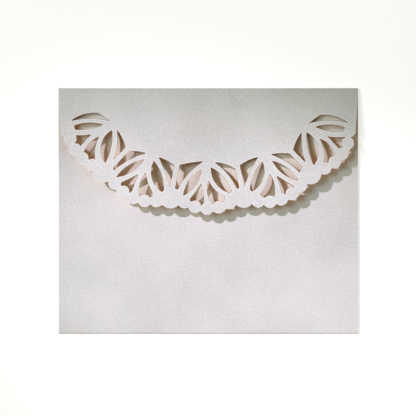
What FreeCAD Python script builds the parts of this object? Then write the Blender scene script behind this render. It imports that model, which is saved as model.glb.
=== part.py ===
import FreeCAD, Part
import math
import os

# Laser cut greeting card, folded from one sheet of pearl paper.  Millimetres, +X across the card,
# +Y up the card, +Z out of its face.  The card lies on its back with its origin under its middle.

# The sheet and its folds
cardWidth = 150.0            # along X
cardHeight = 123.0           # along Y, over both folds
paper = 0.3                  # thickness of the sheet
bottomFoldRadius = 0.25      # inside of the fold between the back and the front panel
topFoldRadius = 0.5          # inside of the fold between the back panel and the flap
frontStop = 3.0              # the front panel ends this far below the top fold
flapRise = 10.4              # degrees that the flap springs up from its fold
flapRadius = 331.0           # the flap curls back down along this radius
flapReach = 66.0             # length of the curl, a little more than the cut outline needs

# The flap's cut outline
sideTaper = 1.4              # how far each side of the flap has come in at its corner
cornerDrop = 21.6            # from the top fold to the corner's arc
cornerRadius = 3.0
beadRadius = 3.4             # small scallops
footRadius = 3.0             # the same beads as they cut into the openings above them
discRadius = 5.3             # large scallops between the fans
discs = [(-52.2, 19.5), (-18.7, 6.6), (17.7, 6.9), (51.0, 18.6)]

# The bar above each disc, between two fans: the lower and upper end of its middle line
bars = [((-52.0, 18.5), (-40.8, 30.4)), ((-18.7, 6.7), (-15.7, 22.6)),
        ((17.7, 6.9), (14.4, 23.1)), ((51.5, 19.3), (41.0, 30.0))]
barWidth = 2.7
barReach = 9.0               # the cut along a bar runs on past both of its ends

# The five leaf fans, from left to right: apex x and y, tilt of the openings, tilt of the beads,
# pattern, and -1 where the pattern is mirrored
fans = [
    (-47.9, 42.3, -48.2, -50.4, "end", -1),
    (-28.5, 27.6, -20.3, -22.9, "inner", -1),
    (-0.3, 24.1, -0.8, -1.0, "middle", 1),
    (28.7, 27.3, 15.3, 19.9, "inner", 1),
    (49.0, 41.2, 48.8, 47.3, "end", 1),
]

# How many beads a pattern has, the degrees between them and their reach from the apex
beads = {"end": (4, 15.2, 21.6), "inner": (5, 14.8, 22.5), "middle": (5, 14.9, 22.6)}

# Openings in a fan's own axes: corners across the fan and down it from the apex, each with the
# bow of the side that follows it.  First the closed ones
leaves = {
    "end": [
        [(2.8, -0.8, 0), (9.5, 0.7, -1.4), (15.8, 13.6, 1.3)],
        [(3.7, 2.9, -1.2), (13.0, 14.1, 0), (11.1, 14.8, -1.0)],
        [(-1.4, 1.5, 1.3), (-11.3, 14.8, 3.8)],
    ],
    "inner": [
        [(2.6, 3.1, -1.7), (12.5, 16.0, -1.9)],
        [(-2.3, 2.1, 1.4), (-11.9, 13.8, 0), (-11.3, 15.1, 3.1)],
    ],
    "middle": [
        [(1.7, 2.4, -1.5), (12.3, 14.0, 0), (11.1, 14.9, -2.7)],
        [(-3.0, 3.4, 2.0), (-11.9, 16.6, 2.0)],
    ],
}
# Openings either side of the stem, which the beads cut short
feet = {
    "end": [
        [(4.0, 10.7, 0.3), (9.2, 17.0, 0), (10.5, 20.5, 0), (2.8, 22.0, 0)],
        [(0.5, 8.4, -1.2), (-0.2, 19.0, 0), (-6.0, 20.5, 0), (-8.5, 18.2, 1.4)],
    ],
    "inner": [
        [(2.8, 10.9, 0.1), (9.7, 18.2, 0), (8.0, 20.5, 0), (2.9, 21.8, 0)],
        [(-0.4, 8.8, -1.3), (-1.5, 21.0, 0), (-9.3, 18.6, 0.9)],
    ],
    "middle": [
        [(0.7, 8.9, 1.2), (8.9, 16.8, 0), (7.5, 21.0, 0), (3.2, 21.0, -1.9)],
        [(-3.1, 10.5, -0.5), (-1.7, 22.2, 0), (-9.0, 18.8, 0.2)],
    ],
}
# Openings between two fans, which the bar and the disc between those fans cut short
cornerOpenings = {
    "end": {
        -1: [(-3.1, -0.5, 0.6), (-13.4, 2.7, 0), (-18.0, 8.0, 0), (-14.8, 14.4, -1.3)],
    },
    "inner": {
        1: [(2.8, -0.2, -0.5), (12.9, 2.4, 0), (18.0, 6.0, 0), (15.6, 14.8, 1.3)],
        -1: [(-3.9, -0.5, 0.7), (-14.5, 1.4, 0), (-18.0, 8.0, 0), (-15.4, 13.4, -0.6)],
    },
    "middle": {
        1: [(3.5, -0.2, -1.0), (15.0, 3.8, 0), (18.0, 10.0, 0), (15.6, 14.6, 1.5)],
        -1: [(-2.2, -0.6, 0.3), (-15.0, 1.7, 0), (-18.0, 8.0, 0), (-15.6, 15.6, -1.7)],
    },
}

sheetFace = 2 * paper + 2 * bottomFoldRadius   # height of the front panel's face
cutFloor = sheetFace + 0.1                     # cuts in the flap start just above the front panel
cutTop = 12.0                                  # and end well above it
spare = 2.0                                    # how far a cut runs on past the sheet's edges
up = FreeCAD.Vector(0, 0, 1)


def bulgedEdge(start, end, bulge):
    """An edge from start to end that bows to its left by the bulge, or to its right if negative."""
    a = FreeCAD.Vector(start[0], start[1], cutFloor)
    b = FreeCAD.Vector(end[0], end[1], cutFloor)
    if bulge == 0:
        return Part.makeLine(a, b)
    along = (b - a).normalize()
    middle = (a + b) * 0.5 + up.cross(along) * bulge
    return Part.Arc(a, middle, b).toShape()


def bulgedFace(loop, turned=1):
    """A face inside a loop of corners: x, y and the bow of the side that follows."""
    following = loop[1:] + loop[:1]
    edges = [bulgedEdge(start[:2], end[:2], turned * start[2]) for start, end in zip(loop, following)]
    return Part.Face(Part.Wire(edges))


def disc(centre, radius):
    circle = Part.makeCircle(radius, FreeCAD.Vector(centre[0], centre[1], cutFloor), up)
    return Part.Face(Part.Wire([circle]))


def prism(face):
    """The cut that a face makes straight down through the flap."""
    return face.extrude(up * (cutTop - cutFloor))


def polar(reach, angle):
    turn = math.radians(angle)
    return (reach * math.sin(turn), reach * math.cos(turn))


def onCard(point, apex, tilt):
    """A point of a fan's own axes, placed on the card."""
    u, v = point
    turn = math.radians(tilt)
    x = apex[0] + u * math.cos(turn) + v * math.sin(turn)
    y = apex[1] + u * math.sin(turn) - v * math.cos(turn)
    return (x, y)


def beadCentres(fan):
    """The beads along a fan's edge, from left to right."""
    x, y, _, tilt, pattern, _ = fan
    count, step, reach = beads[pattern]
    angles = [(i - (count - 1) / 2) * step for i in range(count)]
    return [onCard(polar(reach, angle), (x, y), tilt) for angle in angles]


def pastBar(index, side):
    """The ground from a bar's nearer edge outwards, seen from the fan that has it on that side."""
    low, high = (FreeCAD.Vector(*end, 0) for end in bars[index])
    along = (high - low).normalize()
    outwards = along.cross(up) * side
    near = outwards * (-barWidth / 2)
    far = outwards * cardWidth
    low -= along * barReach
    high += along * barReach
    return bulgedFace([(corner.x, corner.y, 0) for corner in (low + near, high + near, high + far, low + far)])


def fanOpenings(index):
    """Leaf, foot and corner openings of one fan."""
    x, y, tilt, _, pattern, side = fans[index]

    def opening(loop):
        placed = [(*onCard((side * u, v), (x, y), tilt), bow) for u, v, bow in loop]
        return bulgedFace(placed, -side)

    scallops = [disc(centre, footRadius) for centre in beadCentres(fans[index])]
    openings = [opening(loop) for loop in leaves[pattern]]
    openings += [opening(loop).cut(scallops) for loop in feet[pattern]]
    for towards, loop in cornerOpenings[pattern].items():
        barSide = towards * side
        bar = index if barSide > 0 else index - 1
        openings.append(opening(loop).cut([pastBar(bar, barSide), disc(discs[bar], discRadius)]))
    return openings


def flapOutline():
    """The flap seen from above: a plain top, tapered sides and an edge of beads and discs."""
    scallops = []
    for i, fan in enumerate(fans):
        scallops += [(centre, beadRadius) for centre in beadCentres(fan)]
        scallops += [(centre, discRadius) for centre in discs[i:i + 1]]
    half = cardWidth / 2
    top = cardHeight / 2
    inner = half - sideTaper
    cornerY = top - cornerDrop
    past = half + spare / 2
    foldLine = top - paper - topFoldRadius
    rounding = -cornerRadius * (1 - math.sqrt(0.5))
    corners = [(past, top + spare, 0), (-past, top + spare, 0), (-past, foldLine, 0), (-half, foldLine, 0)]
    corners += [(-inner, cornerY, rounding), (-inner + cornerRadius, cornerY - cornerRadius, 0)]
    corners += [(*centre, 0) for centre, _ in scallops]
    corners += [(inner - cornerRadius, cornerY - cornerRadius, rounding), (inner, cornerY, 0)]
    corners += [(half, foldLine, 0), (past, foldLine, 0)]
    body = bulgedFace(corners)
    return body.fuse([disc(centre, radius) for centre, radius in scallops]).removeSplitter()


def sheetProfile():
    """The folded sheet seen from its side, in the YZ plane, as lines and arcs one paper apart."""
    x = -cardWidth / 2
    top = cardHeight / 2

    def point(y, z):
        return FreeCAD.Vector(x, y, z)

    def around(centre, radius, degrees):
        turn = math.radians(degrees)
        return point(centre[0] + radius * math.cos(turn), centre[1] + radius * math.sin(turn))

    def sweep(centre, radius, start, end):
        middle = (start + end) / 2
        points = [around(centre, radius, angle) for angle in (start, middle, end)]
        return Part.Arc(*points).toShape()

    lowOuter = bottomFoldRadius + paper
    highOuter = topFoldRadius + paper
    low = (-top + lowOuter, lowOuter)
    high = (top - highOuter, highOuter)
    frontEnd = top - frontStop
    foldEnd = 90 - flapRise
    lift = math.radians(foldEnd)
    curlReach = flapRadius - topFoldRadius
    curl = (high[0] - curlReach * math.cos(lift), high[1] - curlReach * math.sin(lift))
    curlEnd = foldEnd + math.degrees(flapReach / flapRadius)
    outside = [
        Part.makeLine(point(frontEnd, sheetFace), point(low[0], sheetFace)),
        sweep(low, lowOuter, 90, 270),
        Part.makeLine(point(low[0], 0), point(high[0], 0)),
        sweep(high, highOuter, -90, foldEnd),
        sweep(curl, flapRadius + paper, foldEnd, curlEnd),
    ]
    tip = Part.makeLine(around(curl, flapRadius + paper, curlEnd), around(curl, flapRadius, curlEnd))
    inside = [
        sweep(curl, flapRadius, curlEnd, foldEnd),
        sweep(high, topFoldRadius, foldEnd, -90),
        Part.makeLine(point(high[0], paper), point(low[0], paper)),
        sweep(low, bottomFoldRadius, 270, 90),
        Part.makeLine(point(low[0], sheetFace - paper), point(frontEnd, sheetFace - paper)),
    ]
    end = Part.makeLine(point(frontEnd, sheetFace - paper), point(frontEnd, sheetFace))
    return Part.Face(Part.Wire(outside + [tip] + inside + [end]))


def foldedCard():
    sheet = sheetProfile().extrude(FreeCAD.Vector(cardWidth, 0, 0))
    foldLine = cardHeight / 2 - paper - topFoldRadius
    waste = Part.makeBox(cardWidth + 2 * spare, cardHeight, cutTop - cutFloor,
                         FreeCAD.Vector(-cardWidth / 2 - spare, foldLine - cardHeight, cutFloor))
    waste = waste.cut(prism(flapOutline()))
    cuts = [waste]
    for index in range(len(fans)):
        cuts += [prism(face) for face in fanOpenings(index)]
    return sheet.cut(cuts).removeSplitter()


os.makedirs("parts", exist_ok=True)
card = foldedCard()
print("solids", len(card.Solids), "valid", card.isValid(), "volume", round(card.Volume, 1))
box = card.BoundBox
print("size", round(box.XLength, 3), round(box.YLength, 3), round(box.ZLength, 3),
      "from", round(box.XMin, 3), round(box.YMin, 3), round(box.ZMin, 3))
card.Solids[0].exportStep("parts/folded_card.step")
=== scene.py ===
import math
import bpy
import numpy as np
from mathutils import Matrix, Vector


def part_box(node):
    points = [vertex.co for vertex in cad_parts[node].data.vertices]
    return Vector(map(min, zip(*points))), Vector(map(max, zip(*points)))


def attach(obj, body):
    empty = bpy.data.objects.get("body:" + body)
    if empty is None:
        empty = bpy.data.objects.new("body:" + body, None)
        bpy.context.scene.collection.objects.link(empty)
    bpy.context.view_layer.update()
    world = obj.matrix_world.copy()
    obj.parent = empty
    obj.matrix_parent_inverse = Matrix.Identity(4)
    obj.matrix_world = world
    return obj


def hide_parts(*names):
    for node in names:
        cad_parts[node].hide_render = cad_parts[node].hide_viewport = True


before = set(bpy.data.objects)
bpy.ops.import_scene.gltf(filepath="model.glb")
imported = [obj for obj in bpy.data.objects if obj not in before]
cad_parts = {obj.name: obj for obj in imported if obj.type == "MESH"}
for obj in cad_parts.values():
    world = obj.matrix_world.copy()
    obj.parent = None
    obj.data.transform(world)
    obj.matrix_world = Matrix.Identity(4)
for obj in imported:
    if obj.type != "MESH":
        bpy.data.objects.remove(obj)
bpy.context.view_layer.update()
print("frame loaded")

mm = 0.001
cardLow, cardHigh = (np.array(corner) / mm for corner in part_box("folded_card"))   # worked in millimetres
halfWidth = (cardHigh[0] - cardLow[0]) / 2
topEdge = cardHigh[1]
bottomEdge = cardLow[1]

# the folded sheet, in millimetres and degrees
sheet = {
    "paper": 0.3,             # thickness of the card stock
    "bottomFold": 0.25,       # inside radius between the back and the front panel
    "topFold": 0.5,           # inside radius between the back panel and the flap
    "frontStop": 3.0,         # the front panel ends this far below the top fold
    "flapRise": 10.4,         # degrees that the flap springs up at its fold
    "flapRadius": 331.0,      # and the radius along which it curls back down
    "plainReach": 14.0,       # length of the flap above its lace
    "laceReach": 50.6,        # length of the rest, to just past the lowest scallop
    "laceStep": 0.453,        # grid of the laced part
    "plainStep": 1.4,         # rows of the front panel and of the flap above its lace
    "coarser": 4,             # lace columns to each column of the plain parts
    "backRows": 10,
    "foldRows": 8,
    "snap": (0.4, 0.9),       # lace steps within which a point moves onto a cut: in the lace, and above it
    "sharpAngle": 40,         # edges that turn by more than this stay crisp
    # slight waves over the flap, which grow over the first stretch from the fold
    "waveDepth": 0.12,
    "waveEase": 60.0,
    "waveAcross": (13.0, 0.8),   # millimetres to a radian across the card, and the angle at its middle
    "waveDown": 17.0,            # millimetres to a radian down the card
    # a broad dip in it, which comes in over a short stretch from the fold
    "dipDepth": 2.65,
    "dipMiddle": (16.4, 34.5),
    "dipReach": (26.6, 30.6),
    "dipEase": 12.0,
    # and a shallow trough along the fold: depth, where it is deepest, and how sharply it ends
    "slackDepth": 0.35,
    "slackAt": 15.0,
    "slackPower": 4,
    # what the paper's colours go by
    "farOff": 50.0,              # distance from the cuts that is given to everything but the flap
    "paintedBounceEdge": (-4.0, 1.5),    # the front's painted warm bounce light comes in from outside the scallops to inside them
    "paintedBounceTop": (45.0, 58.0),    # and goes out between these heights on the card
}

# the pattern cut into the flap, in millimetres from the middle of the card and in degrees
lace = {
    "sideTaper": 1.4,
    "cornerDrop": 21.6,
    "cornerRadius": 3.0,
    "beadRadius": 3.4,
    "footRadius": 3.0,        # the same beads as they cut into the openings above them
    "discRadius": 5.3,
    "discs": [(-52.2, 19.5), (-18.7, 6.6), (17.7, 6.9), (51.0, 18.6)],
    # middle line of the bar above each disc: its lower and upper end
    "bars": [((-52.0, 18.5), (-40.8, 30.4)), ((-18.7, 6.7), (-15.7, 22.6)),
             ((17.7, 6.9), (14.4, 23.1)), ((51.5, 19.3), (41.0, 30.0))],
    "barWidth": 2.7,
    # apex x and y, tilt of the openings, tilt of the beads, pattern, and -1 where it is mirrored
    "fans": [
        (-47.9, 42.3, -48.2, -50.4, "end", -1),
        (-28.5, 27.6, -20.3, -22.9, "inner", -1),
        (-0.3, 24.1, -0.8, -1.0, "middle", 1),
        (28.7, 27.3, 15.3, 19.9, "inner", 1),
        (49.0, 41.2, 48.8, 47.3, "end", 1),
    ],
    # how many beads a pattern has, the degrees between them and their reach from the apex
    "beads": {"end": (4, 15.2, 21.6), "inner": (5, 14.8, 22.5), "middle": (5, 14.9, 22.6)},
    # closed openings: corners across the fan and down it from the apex, with the bow of the next side
    "leaves": {
        "end": [
            [(2.8, -0.8, 0), (9.5, 0.7, -1.4), (15.8, 13.6, 1.3)],
            [(3.7, 2.9, -1.2), (13.0, 14.1, 0), (11.1, 14.8, -1.0)],
            [(-1.4, 1.5, 1.3), (-11.3, 14.8, 3.8)],
        ],
        "inner": [
            [(2.6, 3.1, -1.7), (12.5, 16.0, -1.9)],
            [(-2.3, 2.1, 1.4), (-11.9, 13.8, 0), (-11.3, 15.1, 3.1)],
        ],
        "middle": [
            [(1.7, 2.4, -1.5), (12.3, 14.0, 0), (11.1, 14.9, -2.7)],
            [(-3.0, 3.4, 2.0), (-11.9, 16.6, 2.0)],
        ],
    },
    # openings either side of the stem, which the beads cut short
    "feet": {
        "end": [
            [(4.0, 10.7, 0.3), (9.2, 17.0, 0), (10.5, 20.5, 0), (2.8, 22.0, 0)],
            [(0.5, 8.4, -1.2), (-0.2, 19.0, 0), (-6.0, 20.5, 0), (-8.5, 18.2, 1.4)],
        ],
        "inner": [
            [(2.8, 10.9, 0.1), (9.7, 18.2, 0), (8.0, 20.5, 0), (2.9, 21.8, 0)],
            [(-0.4, 8.8, -1.3), (-1.5, 21.0, 0), (-9.3, 18.6, 0.9)],
        ],
        "middle": [
            [(0.7, 8.9, 1.2), (8.9, 16.8, 0), (7.5, 21.0, 0), (3.2, 21.0, -1.9)],
            [(-3.1, 10.5, -0.5), (-1.7, 22.2, 0), (-9.0, 18.8, 0.2)],
        ],
    },
    # openings between two fans, which the bar and the disc between those fans cut short
    "corners": {
        "end": {
            -1: [(-3.1, -0.5, 0.6), (-13.4, 2.7, 0), (-18.0, 8.0, 0), (-14.8, 14.4, -1.3)],
        },
        "inner": {
            1: [(2.8, -0.2, -0.5), (12.9, 2.4, 0), (18.0, 6.0, 0), (15.6, 14.8, 1.3)],
            -1: [(-3.9, -0.5, 0.7), (-14.5, 1.4, 0), (-18.0, 8.0, 0), (-15.4, 13.4, -0.6)],
        },
        "middle": {
            1: [(3.5, -0.2, -1.0), (15.0, 3.8, 0), (18.0, 10.0, 0), (15.6, 14.6, 1.5)],
            -1: [(-2.2, -0.6, 0.3), (-15.0, 1.7, 0), (-18.0, 8.0, 0), (-15.6, 15.6, -1.7)],
        },
    },
    "sideStep": 0.5,          # spacing of the points along an opening's sides
    "fieldReach": 7.0,        # distances from an opening are told apart up to this one
    "runOn": 1.0,             # how far the flap's outline runs on past the sheet's sides and top
}


# distance outside a disc: the distance from its centre less its radius
def roundField(x, y, centre, radius):
    return np.hypot(x - centre[0], y - centre[1]) - radius


# distance to the left of a line: its direction crossed with the way from its start to the point
def sideField(x, y, start, end):
    run = np.subtract(end, start) / math.dist(start, end)
    return (y - start[1]) * run[0] - (x - start[0]) * run[1]


# points round a loop of corners: each side is an arc that bows to its left by the bulge of its start,
# of radius half the side squared plus the bulge squared, over twice the bulge
def loopPoints(corners):
    points = []
    for (ax, ay, bulge), (bx, by, _) in zip(corners, corners[1:] + corners[:1]):
        runX, runY = bx - ax, by - ay
        length = math.hypot(runX, runY)
        share = np.linspace(0, 1, int(length / lace["sideStep"]) + 2)[:-1]
        height = np.zeros(share.size)
        if bulge:
            radius = (length * length / 4 + bulge * bulge) / (2 * abs(bulge))
            arc = np.sqrt(radius ** 2 - ((share - 0.5) * length) ** 2) - radius + abs(bulge)
            height = math.copysign(1, bulge) * arc / length
        points += zip(ax + share * runX - height * runY, ay + share * runY + height * runX)
    return points


# distance outside any polygon: the nearest side's distance, with the sign of an even-odd count
def polygonField(x, y, corners):
    nearest = np.full(x.shape, np.inf)
    inside = np.zeros(x.shape, bool)
    for (ax, ay), (bx, by) in zip(corners, corners[1:] + corners[:1]):
        runX, runY = bx - ax, by - ay
        along = np.clip(((x - ax) * runX + (y - ay) * runY) / (runX * runX + runY * runY), 0, 1)
        nearest = np.minimum(nearest, np.hypot(x - ax - along * runX, y - ay - along * runY))
        if by != ay:
            crossing = (ay > y) != (by > y)
            inside ^= crossing & (x < ax + (y - ay) / (by - ay) * runX)
    return np.where(inside, -nearest, nearest)


# a fan's own point, across it and down it, turned by its tilt and set at its apex
def onCard(point, apexX, apexY, tilt):
    turn = math.radians(tilt)
    return (apexX + point[0] * math.cos(turn) + point[1] * math.sin(turn),
            apexY + point[0] * math.sin(turn) - point[1] * math.cos(turn))


# middles of a fan's beads: at even angles either side of straight down it, all at one reach
def beadCentres(fan):
    apexX, apexY, _, tilt, pattern, _ = fan
    count, step, reach = lace["beads"][pattern]
    turns = [math.radians((i - (count - 1) / 2) * step) for i in range(count)]
    points = [(reach * math.sin(turn), reach * math.cos(turn)) for turn in turns]
    return [onCard(point, apexX, apexY, tilt) for point in points]


# distance past the near edge of a bar, seen from the fan that has the bar on that side: half the
# bar's width less the distance to its middle line
def barField(x, y, index, side):
    return lace["barWidth"] / 2 - side * sideField(x, y, *lace["bars"][index])


# lowers a field to the distance outside one opening: the greater of the distance outside its loop
# and of what cuts it short, worked out only for points within reach of it
def addOpening(field, x, y, fan, corners, cutShort=None):
    apexX, apexY, tilt, _, _, side = fan
    points = [onCard((side * u, v), apexX, apexY, tilt) for u, v in loopPoints(corners)]
    low = np.min(points, axis=0) - lace["fieldReach"]
    high = np.max(points, axis=0) + lace["fieldReach"]
    close = (x > low[0]) & (x < high[0]) & (y > low[1]) & (y < high[1])
    nearX, nearY = x[close], y[close]
    distance = polygonField(nearX, nearY, points)
    if cutShort:
        distance = np.maximum(distance, cutShort(nearX, nearY))
    field[close] = np.minimum(field[close], distance)


# distance outside the nearest opening of the lace: the least over the openings of every fan
def openingField(x, y):
    field = np.full(x.shape, lace["fieldReach"])
    for index, fan in enumerate(lace["fans"]):
        pattern, side = fan[4:]
        centres = beadCentres(fan)

        def pastBeads(nearX, nearY):
            beads = [roundField(nearX, nearY, centre, lace["footRadius"]) for centre in centres]
            return -np.min(beads, axis=0)

        for corners in lace["leaves"][pattern]:
            addOpening(field, x, y, fan, corners)
        for corners in lace["feet"][pattern]:
            addOpening(field, x, y, fan, corners, pastBeads)
        for towards, corners in lace["corners"][pattern].items():
            barSide = towards * side
            bar = index if barSide > 0 else index - 1

            def pastBar(nearX, nearY):
                disc = roundField(nearX, nearY, lace["discs"][bar], lace["discRadius"])
                return np.maximum(barField(nearX, nearY, bar, barSide), -disc)

            addOpening(field, x, y, fan, corners, pastBar)
    return field


# distance outside the flap's outline: the least over its body, its rounded corners, beads and discs
def outlineField(x, y):
    foldLine = topEdge - sheet["paper"] - sheet["topFold"]
    inner = halfWidth - lace["sideTaper"]
    cornerY = topEdge - lace["cornerDrop"]
    rounding = lace["cornerRadius"]
    scallops = []
    for i, fan in enumerate(lace["fans"]):
        scallops += [(centre, lace["beadRadius"]) for centre in beadCentres(fan)]
        scallops += [(centre, lace["discRadius"]) for centre in lace["discs"][i:i + 1]]
    past, above = halfWidth + lace["runOn"], topEdge + lace["runOn"]
    corners = [(past, above), (-past, above), (-past, foldLine), (-halfWidth, foldLine)]
    corners += [(-inner, cornerY), (-inner + rounding, cornerY - rounding)]
    corners += [centre for centre, _ in scallops]
    corners += [(inner - rounding, cornerY - rounding), (inner, cornerY)]
    corners += [(halfWidth, foldLine), (past, foldLine)]
    scallops += [((side * (inner - rounding), cornerY), rounding) for side in (-1, 1)]
    field = polygonField(x, y, corners)
    for centre, radius in scallops:
        field = np.minimum(field, roundField(x, y, centre, radius))
    return field


# the cut flap seen from above: negative in the paper, positive outside its outline and in its openings
def cutField(x, y):
    return np.maximum(outlineField(x, y), -openingField(x, y))


# moves points onto the cut: a few times down the slope of its field, each time by the field over the
# slope, which is measured a nudge to either side and is not taken as flatter than the least
def ontoCut(x, y, steps=4, nudge=0.01, leastSlope=0.5):
    for _ in range(steps):
        field = cutField(x, y)
        slopeX = (cutField(x + nudge, y) - cutField(x - nudge, y)) / (2 * nudge)
        slopeY = (cutField(x, y + nudge) - cutField(x, y - nudge)) / (2 * nudge)
        slopeSquared = np.maximum(slopeX ** 2 + slopeY ** 2, leastSlope ** 2)
        x = x - field * slopeX / slopeSquared
        y = y - field * slopeY / slopeSquared
    return x, y


# rows of the sheet's midline from the front panel's end round to the fold of the flap: y, z and the
# outward normal, straight along the panels and at a fixed radius round the folds
def panelRows():
    paper = sheet["paper"]
    lowRadius = sheet["bottomFold"] + paper / 2
    highRadius = sheet["topFold"] + paper / 2
    low = (bottomEdge + lowRadius + paper / 2, lowRadius + paper / 2)
    high = (topEdge - highRadius - paper / 2, highRadius + paper / 2)
    parts = []

    def straight(startY, endY, z, normalZ, count):
        y = np.linspace(startY, endY, count, endpoint=False)
        parts.append(np.stack([y, np.full(y.size, z), np.zeros(y.size), np.full(y.size, normalZ)], 1))

    def turn(centre, radius, start, end):
        angle = np.radians(np.linspace(start, end, sheet["foldRows"], endpoint=False))
        ny, nz = np.cos(angle), np.sin(angle)
        parts.append(np.stack([centre[0] + radius * ny, centre[1] + radius * nz, ny, nz], 1))

    frontEnd = topEdge - sheet["frontStop"]
    straight(frontEnd, low[0], low[1] + lowRadius, 1.0, int((frontEnd - low[0]) / sheet["plainStep"]))
    turn(low, lowRadius, 90, 270)
    straight(low[0], high[0], low[1] - lowRadius, -1.0, sheet["backRows"])
    turn(high, highRadius, -90, 90 - sheet["flapRise"])
    return np.concatenate(parts)


# centre and radius of the arc along which the flap's midline curls, and the angle where it starts:
# it carries on from the fold, with its centre further down the same line
def flapCurl():
    foldHeight = sheet["topFold"] + sheet["paper"]
    lift = math.radians(90 - sheet["flapRise"])
    reach = sheet["flapRadius"] - sheet["topFold"]
    centre = (topEdge - foldHeight - reach * math.cos(lift), foldHeight - reach * math.sin(lift))
    return centre, sheet["flapRadius"] + sheet["paper"] / 2, lift


# height and normal of the flap's midline: the arc of its curl, plus waves that grow with the square
# of the distance from the fold, less a bell-shaped dip and a trough that rises and fades from the fold
def flapSurface(x, y):
    curl, curlRadius, _ = flapCurl()
    fromFold = topEdge - y
    rise = np.sqrt(curlRadius ** 2 - (y - curl[0]) ** 2)
    scale, start = sheet["waveAcross"]
    grown = np.clip(fromFold / sheet["waveEase"], 0, 1) ** 2
    wave = sheet["waveDepth"] * grown * np.sin(x / scale + start) * np.cos(y / sheet["waveDown"])
    (dipX, dipY), (dipWide, dipTall) = sheet["dipMiddle"], sheet["dipReach"]
    dip = sheet["dipDepth"] * np.exp(-((x - dipX) / dipWide) ** 2 - ((y - dipY) / dipTall) ** 2)
    dip *= 1 - np.exp(-fromFold / sheet["dipEase"])
    away = fromFold / sheet["slackAt"]
    dip += sheet["slackDepth"] * (away * np.exp(1 - away)) ** sheet["slackPower"]
    return curl[1] + rise + wave - dip, (y - curl[0]) / curlRadius, rise / curlRadius


# two triangles for each cell of a grid, their diagonals turning about from cell to cell
def gridTriangles(first, rowCount, width):
    corner = (np.arange(rowCount - 1)[:, None] * width + np.arange(width - 1)).reshape(-1)
    even = (corner // width + corner % width) % 2 == 0
    a, b, c, d = (first + corner + step for step in (0, 1, width + 1, width))
    return np.concatenate([
        np.stack([a, b, c], 1)[even], np.stack([a, c, d], 1)[even],
        np.stack([a, b, d], 1)[~even], np.stack([b, c, d], 1)[~even]])


# joins a coarse row to a fine row with several times as many columns: each coarse cell fans out
def seamTriangles(coarse, fine, cells, ratio):
    cell = np.arange(cells)
    left, right, start = coarse + cell, coarse + cell + 1, fine + cell * ratio
    half = ratio // 2
    fans = [np.stack([left, right, start + half], 1)]
    fans += [np.stack([left, start + k + 1, start + k], 1) for k in range(half)]
    fans += [np.stack([right, start + k + 1, start + k], 1) for k in range(half, ratio)]
    return np.concatenate(fans)


# the folded sheet's grid as it lies seen from above: rows from the front panel's end round to the
# flap's tip and columns across, both finer where the lace is. Gives its points, its triangles and the
# number of the point after the first fine row
def sheetGrid(panelY, cells):
    curl, curlRadius, lift = flapCurl()

    # rows of the flap, evenly spaced along its curl
    def curlRows(start, reach, step):
        along = np.arange(start, start + reach, step)
        return curl[0] + curlRadius * np.cos(lift + along / curlRadius)

    plainY = np.concatenate([panelY, curlRows(0, sheet["plainReach"], sheet["plainStep"])])
    laceY = curlRows(sheet["plainReach"], sheet["laceReach"], sheet["laceStep"])
    ratio = sheet["coarser"]
    wide = np.linspace(-halfWidth, halfWidth, cells + 1)
    narrow = np.linspace(-halfWidth, halfWidth, ratio * cells + 1)
    x = np.concatenate([np.tile(wide, plainY.size), np.tile(narrow, laceY.size)])
    y = np.concatenate([np.repeat(plainY, wide.size), np.repeat(laceY, narrow.size)])
    plainCount = plainY.size * wide.size
    triangles = np.concatenate([
        gridTriangles(0, plainY.size, wide.size),
        seamTriangles(plainCount - wide.size, plainCount, cells, ratio),
        gridTriangles(plainCount, laceY.size, narrow.size)])
    return x, y, triangles, plainCount + narrow.size


# new points where the cut crosses sides of the mesh, each side once: in proportion to the field at its
# two ends, then moved onto the cut. Gives for each set of sides the numbers of its points
def crossingPoints(sides, field, x, y):
    pairs, numbers = np.unique(np.concatenate(sides), axis=0, return_inverse=True)
    first, second = pairs.T
    share = field[first] / (field[first] - field[second])
    crossX = x[first] + share * (x[second] - x[first])
    crossY = y[first] + share * (y[second] - y[first])
    crossX, crossY = ontoCut(crossX, crossY)
    setEnds = np.cumsum([side.shape[0] for side in sides])[:-1]
    return crossX, crossY, np.split(numbers.reshape(-1) + field.size, setEnds)


# cuts a triangle mesh along the zero line of a field: whole triangles inside are kept, crossed ones
# are clipped at new points on their sides
def clipTriangles(triangles, field, x, y):
    sign = np.sign(field).astype(int)
    signs = sign[triangles]
    inside = (signs < 0).sum(1)
    outside = (signs > 0).sum(1)
    flat = (inside == 0) & (outside == 0)
    flat &= cutField(x[triangles].mean(1), y[triangles].mean(1)) < 0
    kept = [triangles[((inside > 0) & (outside == 0)) | flat]]
    sides, pieces = [], []

    # chosen triangles, each turned so that it starts at its first corner with the wanted sign
    def turned(mask, wanted):
        first = np.argmax(signs[mask] == wanted, axis=1)
        return np.take_along_axis(triangles[mask], (first[:, None] + np.arange(3)) % 3, axis=1)

    # notes a set of crossed sides, and gives its place in the list until the new points are known
    def crossing(a, b):
        sides.append(np.stack([np.minimum(a, b), np.maximum(a, b)], 1))
        return len(sides) - 1

    out, p, q = turned((inside == 2) & (outside == 1), 1).T
    pieces += [(p, q, crossing(q, out)), (p, crossing(q, out), crossing(out, p))]
    p, a, b = turned((inside == 1) & (outside == 2), -1).T
    pieces += [(p, crossing(p, a), crossing(b, p))]
    single = turned((inside == 1) & (outside == 1), -1)
    nearOn = sign[single[:, 1]] == 0
    p, on, out = single[nearOn].T
    pieces += [(p, on, crossing(p, out))]
    p, out, on = single[~nearOn].T
    pieces += [(p, crossing(p, out), on)]

    crossX, crossY, numbers = crossingPoints(sides, field, x, y)
    for piece in pieces:
        corners = [numbers[corner] if isinstance(corner, int) else corner for corner in piece]
        kept.append(np.stack(corners, 1))
    return np.concatenate(kept), np.concatenate([x, crossX]), np.concatenate([y, crossY])


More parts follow.
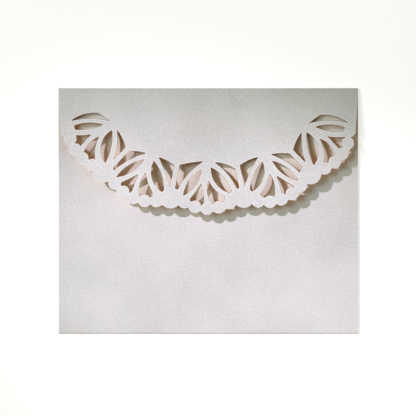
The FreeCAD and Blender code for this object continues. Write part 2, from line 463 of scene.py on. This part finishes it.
# cuts the outline and the lace into the grid: points close to a cut move onto it first, so that no
# thin slivers are left, and the triangles are then clipped
def cutLace(triangles, x, y, flapStart, laceStart):
    field = np.full(x.size, -1.0)
    field[flapStart:] = cutField(x[flapStart:], y[flapStart:])
    inLace = np.arange(x.size) >= laceStart
    close = np.abs(field) < np.where(inLace, *sheet["snap"]) * sheet["laceStep"]
    x[close], y[close] = ontoCut(x[close], y[close])
    field[close] = 0
    return clipTriangles(triangles, field, x, y)


# from 0 at low to 1 at high: three times the share of the way squared, less twice its cube
def smoothStep(value, low, high):
    share = np.clip((value - low) / (high - low), 0, 1)
    return share * share * (3 - 2 * share)


# what the paper's colours go by: on the flap, the distance from any cut and from an opening; on the
# front panel, a share of painted warm bounce light that is how far it lies under the scallops times how
# far it is below the top
def sheetMarks(x, y, flapStart, frontCount):
    cutDistance, openingDistance = np.full((2, x.size), sheet["farOff"])
    flapX, flapY = x[flapStart:], y[flapStart:]
    openingDistance[flapStart:] = openingField(flapX, flapY)
    cutDistance[flapStart:] = np.minimum(-outlineField(flapX, flapY), openingDistance[flapStart:])
    paintedBounceShare = np.zeros(x.size)
    frontX, frontY = x[:frontCount], y[:frontCount]
    under = smoothStep(-outlineField(frontX, frontY), *sheet["paintedBounceEdge"])
    paintedBounceShare[:frontCount] = under * (1 - smoothStep(frontY, *sheet["paintedBounceTop"]))
    return {"paintedBounceShare": paintedBounceShare, "cutDistance": np.maximum(cutDistance, 0),
            "openingDistance": np.maximum(openingDistance, 0)}


# a closed shell round a midline surface: one skin half the paper out along the normals, one half the
# paper in and turned over, and a wall of two triangles on each side that only one triangle has. The
# grid's triangles run clockwise seen from outside, so all are turned round to face outwards
def closedShell(middle, normals, triangles):
    size = middle.shape[0]
    offset = normals * (sheet["paper"] / 2)
    start = triangles[:, (0, 1, 2)].reshape(-1)
    end = triangles[:, (1, 2, 0)].reshape(-1)
    border = ~np.isin(start * size + end, end * size + start)
    start, end = start[border], end[border]
    walls = np.concatenate([
        np.stack([end, start, start + size], 1), np.stack([end, start + size, end + size], 1)])
    faces = np.concatenate([triangles, triangles[:, ::-1] + size, walls])
    return np.concatenate([middle + offset, middle - offset]) * mm, faces[:, ::-1]


# puts points, triangles and marks into an object, smooth all over but for its sharp edges
def triangleObject(name, points, faces, marks):
    mesh = bpy.data.meshes.new(name)
    mesh.vertices.add(points.shape[0])
    mesh.vertices.foreach_set("co", points.astype(np.float32).reshape(-1))
    mesh.loops.add(faces.size)
    mesh.loops.foreach_set("vertex_index", faces.astype(np.int32).reshape(-1))
    mesh.polygons.add(faces.shape[0])
    mesh.polygons.foreach_set("loop_start", np.arange(0, faces.size, 3, dtype=np.int32))
    mesh.update(calc_edges=True)
    mesh.polygons.foreach_set("use_smooth", np.ones(faces.shape[0], bool))
    mesh.set_sharp_from_angle(angle=math.radians(sheet["sharpAngle"]))
    for mark, values in marks.items():
        mesh.attributes.new(mark, "FLOAT", "POINT").data.foreach_set("value", values.astype(np.float32))
    mesh.validate()
    made = bpy.data.objects.new(name, mesh)
    bpy.context.scene.collection.objects.link(made)
    return made


# the whole sheet as one closed shell: a grid that is cut along the lace, set at its height round the
# folds and along the flap, then given half the paper's thickness to both sides of this midline
def buildFoldedCard():
    rows = panelRows()
    cells = int(round(2 * halfWidth / (sheet["coarser"] * sheet["laceStep"])))
    x, y, triangles, laceStart = sheetGrid(rows[:, 0], cells)
    width = cells + 1
    panelCount = rows.shape[0] * width
    flapStart = panelCount + width            # the flap's first row stays whole, at the fold
    triangles, x, y = cutLace(triangles, x, y, flapStart, laceStart)

    z, normalY, normalZ = np.zeros((3, x.size))
    for column, values in enumerate((z, normalY, normalZ), start=1):
        values[:panelCount] = np.repeat(rows[:, column], width)
    surface = flapSurface(x[panelCount:], y[panelCount:])
    z[panelCount:], normalY[panelCount:], normalZ[panelCount:] = surface
    frontRows = int(np.argmax(rows[:, 3] < 1.0))     # up to the first row that doesn't face straight up
    gridMarks = sheetMarks(x, y, flapStart, frontRows * width)

    used, packed = np.unique(triangles, return_inverse=True)
    middle = np.stack([x, y, z], 1)[used]
    normals = np.stack([np.zeros(x.size), normalY, normalZ], 1)[used]
    points, faces = closedShell(middle, normals, packed.reshape(triangles.shape))
    marks = {"innerSide": np.repeat([0.0, 1.0], used.size)}
    marks.update({name: np.tile(values[used], 2) for name, values in gridMarks.items()})
    print("folded card", faces.shape[0], "triangles", points.shape[0], "points")
    return triangleObject("foldedCard", points, faces, marks)


# the paper's finish; widths and sizes in millimetres, and a width's two values are where its effect
# starts to fade and where it ends
paperLook = {
    "face": (0.768, 0.765, 0.752),
    "paintedBounceTint": (0.80, 0.81, 0.715),       # the front panel below the lace, painted with warm bounce light from the flap's underside
    "paintedHighlight": (0.94, 0.93, 0.90),          # painted highlight along the edges of the cuts
    "paintedHighlightWidth": (0.28, 0.66),
    "hemDulled": 0.3,                   # the painted highlight is this much narrower along the outline
    "burnAndShadeLine": (0.20, 0.10, 0.035),        # thin line round each opening: burnt paper and painted edge shade
    "burnAndShadeWidth": (0.06, 0.26),
    "scorch": (0.20, 0.105, 0.04),      # walls of the cuts
    "stain": (0.77, 0.22, 0.05),        # underside beside the openings
    "stainReach": (3.0, 9.0),
    # patterns that lighten and darken the paper: size, detail and depth; the shade is painted light and
    # shade
    "grain": (1.1, 3, 0.18),
    "cloud": (18.0, 2, 0.09),
    # painted light and shade in broad soft patches
    "shade": (50.0, 1, 0.15),
    "shadeAt": (-40.0, 20.0, 12.0),     # how far the shade and the hue are moved
    "hue": (18.0, 1),                   # size and detail of the drift from the warm tint to the cool one
    "warmTint": (1.025, 1.0, 0.97),
    "coolTint": (0.98, 1.0, 1.015),
    "roughness": 0.45,
    "specular": 0.5,
    "bumpStrength": 0.25,
    "bumpDepth": 0.04,
    "touching": 0.01,                   # a point this near a cut is on it
    "skinShare": 0.001,                 # share of the way through the paper that still counts as its skin
}


# adds a material's nodes and joins them
class Nodes:
    def __init__(self, material):
        material.use_nodes = True
        self.tree = material.node_tree
        self.tree.nodes.clear()

    def add(self, kind, **settings):
        node = self.tree.nodes.new(kind)
        for key, value in settings.items():
            setattr(node, key, value)
        return node

    # an output is joined to the socket; a number, a vector or a colour is set on it
    def feed(self, value, socket):
        if isinstance(value, bpy.types.NodeSocket):
            self.tree.links.new(value, socket)
        elif socket.type == "RGBA":
            socket.default_value = (*value, 1)
        else:
            socket.default_value = value

    def math(self, operation, first, second):
        node = self.add("ShaderNodeMath", operation=operation)
        self.feed(first, node.inputs[0])
        self.feed(second, node.inputs[1])
        return node.outputs[0]

    def vectorMath(self, operation, first, second):
        node = self.add("ShaderNodeVectorMath", operation=operation)
        self.feed(first, node.inputs[0])
        self.feed(second, node.inputs["Scale" if operation == "SCALE" else 1])
        return node.outputs[0]

    # 1 up to the start and 0 from the end on, along a smooth step between them
    def fade(self, value, start, end):
        node = self.add("ShaderNodeMapRange", interpolation_type="SMOOTHSTEP")
        self.feed(value, node.inputs["Value"])
        for name, number in (("From Min", start), ("From Max", end), ("To Min", 1.0), ("To Max", 0.0)):
            self.feed(number, node.inputs[name])
        return node.outputs["Result"]

    # the first colour where the share is 0 and the second where it is 1
    def blend(self, share, first, second):
        node = self.add("ShaderNodeMix", data_type="RGBA")
        colours = [socket for socket in node.inputs if socket.type == "RGBA"]
        self.feed(share, node.inputs["Factor"])
        self.feed(first, colours[0])
        self.feed(second, colours[1])
        return [socket for socket in node.outputs if socket.type == "RGBA"][0]

    def attribute(self, name):
        return self.add("ShaderNodeAttribute", attribute_name=name).outputs["Fac"]

    def noise(self, place, size, detail):
        node = self.add("ShaderNodeTexNoise")
        self.feed(place, node.inputs["Vector"])
        self.feed(1 / (size * mm), node.inputs["Scale"])
        self.feed(detail, node.inputs["Detail"])
        return node.outputs["Fac"]

    def finish(self, shader):
        self.feed(shader.outputs[0], self.add("ShaderNodeOutputMaterial").inputs["Surface"])


# colour by place: the outer skin, with painted warm bounce light below the lace, a painted highlight
# beside the cuts and a thin line round the openings that is burnt paper and painted edge shade; the inner
# skin, stained beside the openings; and the walls between, scorched where cut
def paperColour(nodes):
    cutDistance = nodes.attribute("cutDistance")
    openingDistance = nodes.attribute("openingDistance")
    # painted highlight beside the cuts, narrower along the outline
    fromOutline = nodes.math("ADD", cutDistance, paperLook["hemDulled"])
    paintedHighlight = nodes.fade(nodes.math("MINIMUM", fromOutline, openingDistance), *paperLook["paintedHighlightWidth"])
    # a thin line round the openings, partly burnt paper and partly painted edge shade
    burnAndShadeLine = nodes.fade(openingDistance, *paperLook["burnAndShadeWidth"])
    # painted warm bounce light on the front panel below the lace
    outside = nodes.blend(nodes.attribute("paintedBounceShare"), paperLook["face"], paperLook["paintedBounceTint"])
    outside = nodes.blend(paintedHighlight, outside, paperLook["paintedHighlight"])
    outside = nodes.blend(burnAndShadeLine, outside, paperLook["burnAndShadeLine"])
    stain = nodes.fade(openingDistance, *paperLook["stainReach"])
    inside = nodes.blend(stain, paperLook["face"], paperLook["stain"])
    onCut = nodes.math("LESS_THAN", cutDistance, paperLook["touching"])
    wall = nodes.blend(onCut, paperLook["face"], paperLook["scorch"])
    innerSide = nodes.attribute("innerSide")
    belowOuter = nodes.math("GREATER_THAN", innerSide, paperLook["skinShare"])
    onInner = nodes.math("GREATER_THAN", innerSide, 1 - paperLook["skinShare"])
    return nodes.blend(onInner, nodes.blend(belowOuter, outside, wall), inside)


# lightness by place: one, plus each pattern's depth times how far it strays from its middle, as a
# share of that middle; the broad shade pattern is painted light and shade
def paperTone(nodes, patterns):
    tone = 1.0
    for name, pattern in patterns.items():
        middle, depth = 0.5, paperLook[name][2]      # a pattern runs from 0 to 1
        strays = nodes.math("MULTIPLY", nodes.math("SUBTRACT", pattern, middle), depth / middle)
        tone = nodes.math("ADD", strays, tone)
    return tone


# off-white pearl card: its colour, times a drift between two tints, times its tone, with a fine bump
def pearlPaper():
    material = bpy.data.materials.new("pearlPaper")
    nodes = Nodes(material)
    place = nodes.add("ShaderNodeTexCoord").outputs["Object"]
    moved = nodes.vectorMath("ADD", place, tuple(mm * part for part in paperLook["shadeAt"]))
    patterns = {name: nodes.noise(where, *paperLook[name][:2])
                for name, where in (("grain", place), ("cloud", place), ("shade", moved))}
    hue = nodes.noise(moved, *paperLook["hue"])
    tint = nodes.blend(hue, paperLook["warmTint"], paperLook["coolTint"])
    tinted = nodes.vectorMath("MULTIPLY", paperColour(nodes), tint)
    toned = nodes.vectorMath("SCALE", tinted, paperTone(nodes, patterns))

    bump = nodes.add("ShaderNodeBump")
    nodes.feed(paperLook["bumpStrength"], bump.inputs["Strength"])
    nodes.feed(paperLook["bumpDepth"] * mm, bump.inputs["Distance"])
    nodes.feed(patterns["grain"], bump.inputs["Height"])
    shader = nodes.add("ShaderNodeBsdfPrincipled")
    nodes.feed(toned, shader.inputs["Base Color"])
    nodes.feed(bump.outputs[0], shader.inputs["Normal"])
    nodes.feed(paperLook["roughness"], shader.inputs["Roughness"])
    nodes.feed(paperLook["specular"], shader.inputs["Specular IOR Level"])
    nodes.finish(shader)
    print("pearl paper ready")
    return material


# lamps, floor and camera, in metres and watts; what is measured on the card is in millimetres
studio = {
    "worldColour": (1.0, 0.93, 0.46),
    "worldStrength": 0.158,
    "keyColour": (0.895, 0.80, 0.97),
    "keyFrom": (-6.1, 4.26, 5.5),     # direction of the key lamp, seen from the middle of the card
    "keyDistance": 1.2,
    "keyAim": (51.0, -74.0),          # middle of its soft-edged beam on the card
    "keyReach": 140.0,                # and the beam's radius there
    "keyRadius": 0.018,
    "keyPower": 67.0,
    "discDistance": 2.0,              # the fill lamp and the side lamp are glowing discs
    "discSize": 0.9,
    "fillColour": (0.82, 0.96, 1.0),
    "fillFrom": (-0.818, 0.189, 1.0),
    "fillPower": 13.7,
    "sideColour": (0.97, 0.955, 1.0),
    "sideFrom": (1.0, -0.5, 0.8),
    "sidePower": 5.2,
    "floorSize": 12.0,
    "floorColour": (0.80, 0.80, 0.80),
    "floorLift": 0.6,                 # strength of the glow that takes it to white where it is seen
    "floorDrop": 0.02,                # millimetres that it lies below the card
    "viewWidth": 208.5,               # width of the view where the card lies
    "aim": (-0.12, 1.5),              # and its middle
    "lens": 200.0,                    # focal length in millimetres
    "clipStart": 0.01,
}


# a lamp in the given direction from the middle of the card, turned to its aim on the card; gives also
# how far away that aim is
def addLamp(name, kind, towards, distance, aim, colour, power):
    lamp = bpy.data.lights.new(name, kind)
    lamp.energy = power
    lamp.color = colour
    lampObject = bpy.data.objects.new(name, lamp)
    lampObject.location = Vector(towards).normalized() * distance
    beam = Vector((aim[0] * mm, aim[1] * mm, 0)) - lampObject.location
    lampObject.rotation_euler = beam.to_track_quat("-Z", "Y").to_euler()
    bpy.context.scene.collection.objects.link(lampObject)
    return lamp, beam.length


# a dim world, a key lamp whose cone just takes in its reach round its aim, and two glowing discs
def buildLights():
    world = bpy.data.worlds.new("studioWorld")
    bpy.context.scene.world = world
    world.use_nodes = True
    backdrop = world.node_tree.nodes["Background"]
    backdrop.inputs["Color"].default_value = (*studio["worldColour"], 1)
    backdrop.inputs["Strength"].default_value = studio["worldStrength"]

    key, throw = addLamp("key", "SPOT", studio["keyFrom"], studio["keyDistance"], studio["keyAim"],
                         studio["keyColour"], studio["keyPower"])
    key.spot_size = 2 * math.atan(studio["keyReach"] * mm / throw)
    key.spot_blend = 1.0
    key.shadow_soft_size = studio["keyRadius"]
    for name in ("fill", "side"):
        disc, _ = addLamp(name, "AREA", studio[name + "From"], studio["discDistance"], (0, 0),
                          studio[name + "Colour"], studio[name + "Power"])
        disc.shape = "DISK"
        disc.size = studio["discSize"]
    print("lamps ready")


# matte white that takes shadows, plus a glow that only camera, glossy and transmission rays see
def whiteFloor():
    material = bpy.data.materials.new("whiteFloor")
    nodes = Nodes(material)
    matte = nodes.add("ShaderNodeBsdfDiffuse")
    nodes.feed(studio["floorColour"], matte.inputs["Color"])
    glow = nodes.add("ShaderNodeEmission")
    path = nodes.add("ShaderNodeLightPath")
    seen = path.outputs["Is Camera Ray"]
    for ray in ("Is Glossy Ray", "Is Transmission Ray"):
        seen = nodes.math("MAXIMUM", seen, path.outputs[ray])
    nodes.feed(nodes.math("MULTIPLY", seen, studio["floorLift"]), glow.inputs["Strength"])
    both = nodes.add("ShaderNodeAddShader")
    nodes.feed(matte.outputs[0], both.inputs[0])
    nodes.feed(glow.outputs[0], both.inputs[1])
    nodes.finish(both)
    return material


# one square, half its size to each side of the card's middle and a hair below the card
def buildFloor():
    half = studio["floorSize"] / 2
    corners = [(-half, -half, 0), (half, -half, 0), (half, half, 0), (-half, half, 0)]
    mesh = bpy.data.meshes.new("floor")
    mesh.from_pydata(corners, [], [(0, 1, 2, 3)])
    mesh.materials.append(whiteFloor())
    floor = bpy.data.objects.new("floor", mesh)
    floor.location.z = -studio["floorDrop"] * mm
    bpy.context.scene.collection.objects.link(floor)
    print("floor ready")


# looks straight down from the view's width times the lens over the sensor's width
def buildCamera():
    camera = bpy.data.cameras.new("camera")
    camera.lens = studio["lens"]
    camera.clip_start = studio["clipStart"]
    distance = studio["viewWidth"] * mm * camera.lens / camera.sensor_width
    cameraObject = bpy.data.objects.new("camera", camera)
    cameraObject.location = (studio["aim"][0] * mm, studio["aim"][1] * mm, distance)
    bpy.context.scene.collection.objects.link(cameraObject)
    bpy.context.scene.camera = cameraObject
    bpy.context.scene.view_settings.view_transform = "Standard"
    print("camera ready")


card = buildFoldedCard()
card.data.materials.append(pearlPaper())
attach(card, "root")
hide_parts("folded_card")
buildLights()
buildFloor()
buildCamera()
